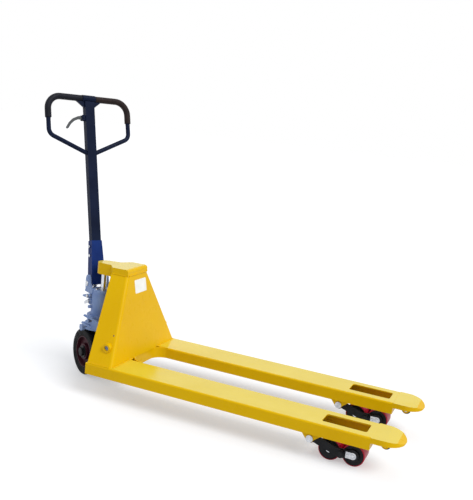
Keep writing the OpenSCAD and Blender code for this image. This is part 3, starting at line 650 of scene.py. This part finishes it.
# ---- Handle base and shaft ----------------------------------------------------------------------
# A cast base hinges on the pump's ears; the rectangular steel shaft is bolted into it.
# Both are stoved in dark navy blue.
handle = steer @ Matrix.Translation((0.060, 0, 0.387)) @ Matrix.Rotation(radians(15), 4, "Y")
navy = finish("navy_enamel", rough=0.34, specular=0.06)
tint(navy, grain(navy, 12, 3), 0.3, 0.7, colour(15, 23, 44), colour(22, 31, 55))
edge_wear(navy, 0.0015, 0.3, colour(60, 74, 110))
gloss(navy, grain(navy, 60, 3), 0.3, 0.7, 0.26, 0.42)
relief(navy, grain(navy, 380, 2), 0.0002, 0.25)
base_blue = finish("blue_enamel", rough=0.34, specular=0.08)
tint(base_blue, grain(base_blue, 12, 3), 0.3, 0.7, colour(16, 38, 96), colour(24, 50, 114))
edge_wear(base_blue, 0.0015, 0.3, colour(70, 92, 146))
gloss(base_blue, grain(base_blue, 60, 3), 0.3, 0.7, 0.26, 0.42)
relief(base_blue, grain(base_blue, 300, 3), 0.0003, 0.3)
dress("handle_base", "base_paint", base_blue, 0.0018, 3)
dress("handle_shaft", "handle_paint", navy, 0.0014, 3)
dress("handle_head", "handle_paint", navy, 0.0015, 3)

# ---- Handle loop ---------------------------------------------------------------------------------
# One bent steel tube: bar, round corners, straight sides and diagonals welded to the shaft.
# It is stoved navy blue with the shaft before the grips go on.
side_v, corner, bar_s = 0.190, 0.058, 0.811
low_bend, low_turn, low_s = 0.034, radians(66), 0.668
shaft_side = 0.0205


def sweep(radius, start_v, end_s=None, points=24):
    """A tube that starts on the bar and runs round one corner, down to end_s or on to the shaft."""
    bpy.ops.mesh.primitive_circle_add(vertices=points, radius=radius, location=(0, start_v, bar_s),
                                      rotation=(radians(90), 0, 0))
    tube = bpy.context.object
    bpy.ops.object.transform_apply()
    bpy.ops.object.mode_set(mode="EDIT")
    bpy.ops.mesh.select_mode(type="VERT")
    bpy.ops.mesh.select_all(action="SELECT")
    run = side_v - corner - start_v
    for step in range(4):
        bpy.ops.mesh.extrude_region_move(TRANSFORM_OT_translate={"value": (0, run / 4, 0)})
    bpy.ops.mesh.spin(steps=12, angle=-pi / 2, center=(0, side_v - corner, bar_s - corner), axis=(-1, 0, 0))
    stop = low_s if end_s is None else end_s
    bpy.ops.mesh.extrude_region_move(TRANSFORM_OT_translate={"value": (0, 0, stop - (bar_s - corner))})
    if end_s is None:
        bpy.ops.mesh.spin(steps=9, angle=-low_turn, center=(0, side_v - low_bend, low_s), axis=(-1, 0, 0))
        reach = side_v - low_bend + low_bend * cos(low_turn) - shaft_side
        bpy.ops.mesh.extrude_region_move(
            TRANSFORM_OT_translate={"value": (0, -reach, -reach / tan(low_turn))})
    return tube


loop = sweep(0.0098, 0.0)
bpy.ops.mesh.edge_face_add()
done(loop, "handle_loop")
modify(loop, "MIRROR", use_axis=(False, True, False), merge_threshold=0.0005)
face_out(loop)
bpy.ops.object.shade_smooth_by_angle(angle=radians(40))
fasten(loop, "handle", "handle_paint", navy, "loop_tube", place=handle)

# ---- Grips ------------------------------------------------------------------------------------
# Moulded rubber sleeves pushed over the bar and its corners, open at both ends.
# The left one has browned a little.
grip_rubber = finish("grip_rubber", rough=0.48, specular=0.12)
tint(grip_rubber, grain(grip_rubber, 30, 3), 0.3, 0.7, colour(18, 20, 28), colour(30, 31, 40))
gloss(grip_rubber, grain(grip_rubber, 90, 3), 0.3, 0.7, 0.4, 0.6)
relief(grip_rubber, grain(grip_rubber, 900, 3), 0.0002, 0.5)
warm_rubber = finish("warm_grip_rubber", rough=0.45, specular=0.12)
tint(warm_rubber, grain(warm_rubber, 30, 3), 0.3, 0.7, colour(33, 25, 25), colour(44, 34, 33))
gloss(warm_rubber, grain(warm_rubber, 90, 3), 0.3, 0.7, 0.4, 0.6)
relief(warm_rubber, grain(warm_rubber, 900, 3), 0.0002, 0.5)
for side, look, mirror in (("right", grip_rubber, 1), ("left", warm_rubber, -1)):
    grip = sweep(0.0138, 0.032, 0.717, 32)
    bpy.ops.mesh.extrude_region_move(TRANSFORM_OT_translate={"value": (0, 0, -0.002)})
    done(grip, "grip_sleeve_" + side)
    modify(grip, "SOLIDIFY", thickness=0.0036, offset=-1)
    take(grip)
    bpy.ops.transform.mirror(constraint_axis=(False, mirror < 0, False))
    bpy.ops.object.transform_apply()
    face_out(grip)
    soften(grip, 0.0012, 3, 50)
    fasten(grip, "handle", "grip_rubber", look, "grip_" + side, place=handle)

# ---- Finger control -------------------------------------------------------------------------------
# A curved moulded finger lever turns in a small bracket under the bar.
# It pulls the thin steel rod that runs down inside the shaft to the pump's release arm.
lever_black = finish("moulded_lever", rough=0.45)
tint(lever_black, grain(lever_black, 40, 3), 0.3, 0.7, colour(40, 43, 46), colour(62, 66, 68))
relief(lever_black, grain(lever_black, 800, 2), 0.0001, 0.3)
dress("control_lever", "lever_plastic", lever_black, 0.0015, 3)
dress("lever_bracket", "handle_paint", navy, 0.0006)
dress("release_rod", "steel", steel, 0.0004)
